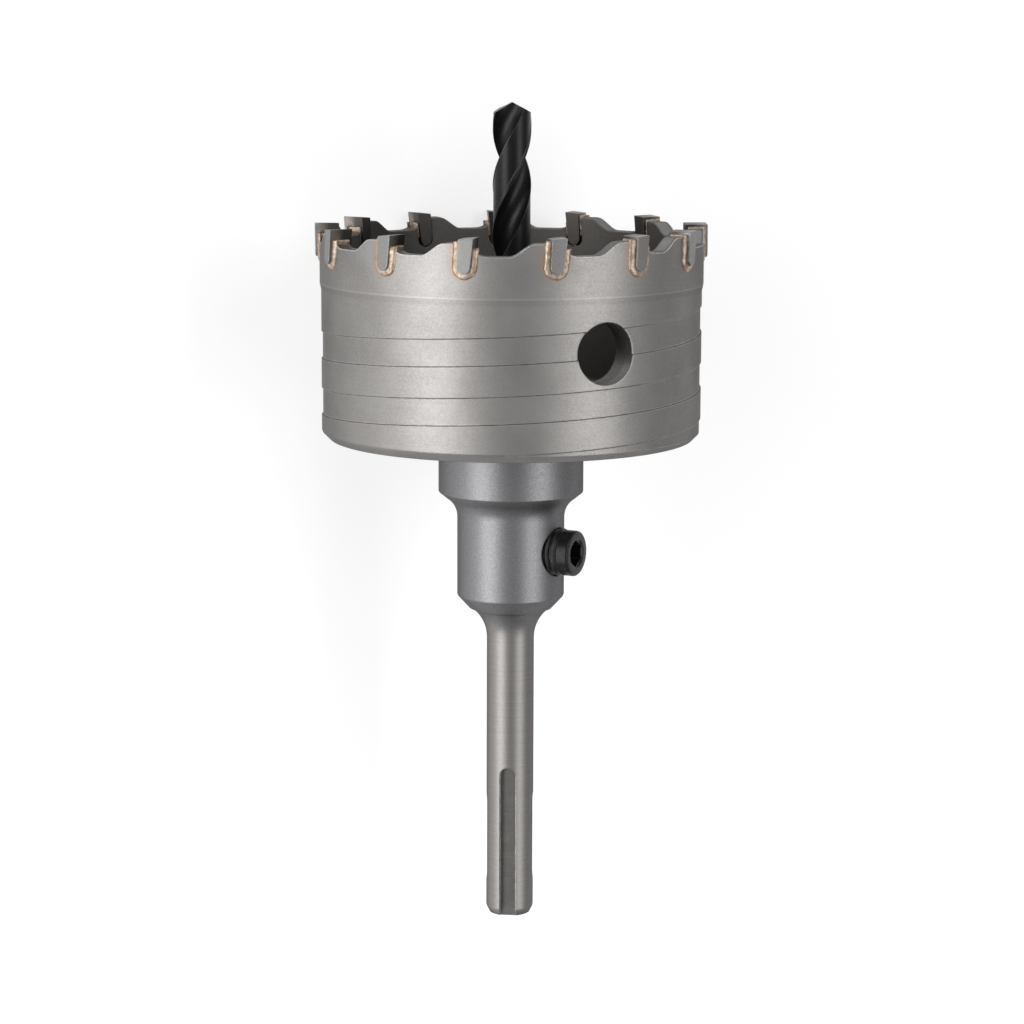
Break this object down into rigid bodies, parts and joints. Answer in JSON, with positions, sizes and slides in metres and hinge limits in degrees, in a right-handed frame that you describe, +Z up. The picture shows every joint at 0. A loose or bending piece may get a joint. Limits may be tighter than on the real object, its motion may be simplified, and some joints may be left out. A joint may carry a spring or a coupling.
{
  "type": "hole saw",
  "caption": "Carbide-tipped masonry hole saw: turned steel cup with brazed teeth and a wound groove, on an SDS-plus arbor with a black pilot drill held by a socket set screw.",
  "frame": {"origin": "on the tool's axis, at the free end face of the shank", "axes": "+Y along the axis from the shank's end to the pilot drill's point; +Z up, the tool lying on its side on two teeth and the cup's lower edge"},
  "size_m": [0.0814, 0.1728, 0.0815],
  "materials": {
    "cup_steel": "satin, fine turned",
    "carbide": "fine ground matt",
    "braze": "as brazed, satin",
    "arbor_steel": "blasted, satin",
    "black_steel": "black oxide, satin"
  },
  "bodies": {
    "root": {"saw_cup": "cup_steel", "carbide_tip_01": "carbide", "carbide_tip_02": "carbide", "carbide_tip_03": "carbide", "carbide_tip_04": "carbide", "carbide_tip_05": "carbide", "carbide_tip_06": "carbide", "carbide_tip_07": "carbide", "carbide_tip_08": "carbide", "carbide_tip_09": "carbide", "carbide_tip_10": "carbide", "carbide_tip_11": "carbide", "carbide_tip_12": "carbide", "carbide_tip_13": "carbide", "braze_joint_01": "braze", "braze_joint_02": "braze", "braze_joint_03": "braze", "braze_joint_04": "braze", "braze_joint_05": "braze", "braze_joint_06": "braze", "braze_joint_07": "braze", "braze_joint_08": "braze", "braze_joint_09": "braze", "braze_joint_10": "braze", "braze_joint_11": "braze", "braze_joint_12": "braze", "braze_joint_13": "braze", "arbor": "arbor_steel", "pilot_drill": "black_steel", "set_screw": "black_steel"}
  },
  "joints": []
}
